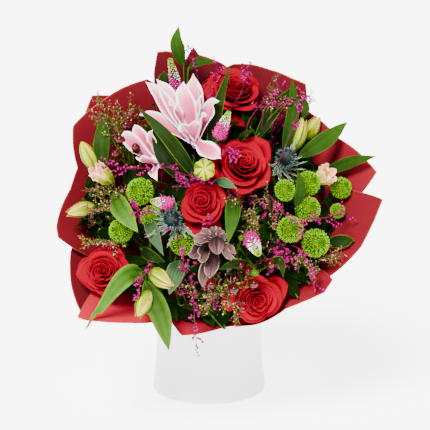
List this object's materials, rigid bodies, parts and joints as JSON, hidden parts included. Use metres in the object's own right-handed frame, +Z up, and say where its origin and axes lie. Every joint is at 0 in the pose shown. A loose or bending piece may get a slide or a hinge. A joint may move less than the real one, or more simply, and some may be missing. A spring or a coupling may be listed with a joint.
{
  "type": "mixed flower bouquet",
  "caption": "Mixed bouquet of red roses, pink lilies, green button mums, thistles, berries and leaves in deep red paper, standing in a plain white vase.",
  "frame": {"origin": "centre of the vase's underside, on the surface it stands on", "axes": "+Z up, -Y to the front, towards which the bouquet leans, +X to the right as seen from the front"},
  "size_m": [0.3444, 0.292, 0.4278],
  "materials": {
    "vase_white": "smooth matt white",
    "water": "clear still water",
    "raffia": "fibrous, matt",
    "paper_red": "uncoated matt paper, deep red",
    "rose_red": "soft velvety petals",
    "stem_green": "smooth green stems",
    "lily_pink": "waxy pale pink petals with white edges",
    "leaf_green": "satin leaves",
    "orchid_mauve": "soft, veined brown-mauve",
    "mum_green": "matt lime green florets",
    "thistle_blue": "spiny steel blue",
    "thistle_grey": "grey-green spiny bracts",
    "veronica_pink": "cream and pink florets",
    "alstroemeria_cream": "cream and yellow-green buds",
    "berry_red": "glossy dark red berries",
    "limonium_magenta": "dry magenta florets",
    "waxflower_pink": "small pink buds on green twigs",
    "leaf_dark": "satin dark green leaves"
  },
  "bodies": {
    "root": {"alstroemeria_centre": "alstroemeria_cream", "alstroemeria_front": "alstroemeria_cream", "alstroemeria_left": "alstroemeria_cream", "alstroemeria_right": "alstroemeria_cream", "foliage_centre": "leaf_dark", "foliage_left_low": "leaf_dark", "foliage_right_low": "leaf_dark", "foliage_right_top": "leaf_dark", "foliage_top": "leaf_dark", "hypericum_front": "berry_red", "hypericum_left": "berry_red", "lily_bloom_1": "lily_pink", "lily_bloom_2": "lily_pink", "lily_stem": "leaf_green", "limonium_front": "limonium_magenta", "limonium_left": "limonium_magenta", "limonium_right": "limonium_magenta", "limonium_right_top": "limonium_magenta", "limonium_top": "limonium_magenta", "mum_spray_left": "mum_green", "mum_spray_right": "mum_green", "orchid_bloom": "orchid_mauve", "orchid_stem": "stem_green", "rose_bloom_1": "rose_red", "rose_bloom_2": "rose_red", "rose_bloom_3": "rose_red", "rose_bloom_4": "rose_red", "rose_bloom_5": "rose_red", "rose_stem_1": "stem_green", "rose_stem_2": "stem_green", "rose_stem_3": "stem_green", "rose_stem_4": "stem_green", "rose_stem_5": "stem_green", "thistle_head_1": "thistle_blue", "thistle_head_2": "thistle_blue", "thistle_stem_1": "thistle_grey", "thistle_stem_2": "thistle_grey", "tie": "raffia", "vase": "vase_white", "veronica_1": "veronica_pink", "veronica_2": "veronica_pink", "veronica_3": "veronica_pink", "veronica_4": "veronica_pink", "water": "water", "waxflower_front": "waxflower_pink", "waxflower_left": "waxflower_pink", "waxflower_left_top": "waxflower_pink", "waxflower_right": "waxflower_pink", "waxflower_top": "waxflower_pink", "wrap_1": "paper_red", "wrap_10": "paper_red", "wrap_2": "paper_red", "wrap_3": "paper_red", "wrap_4": "paper_red", "wrap_5": "paper_red", "wrap_6": "paper_red", "wrap_7": "paper_red", "wrap_8": "paper_red", "wrap_9": "paper_red"}
  },
  "joints": []
}
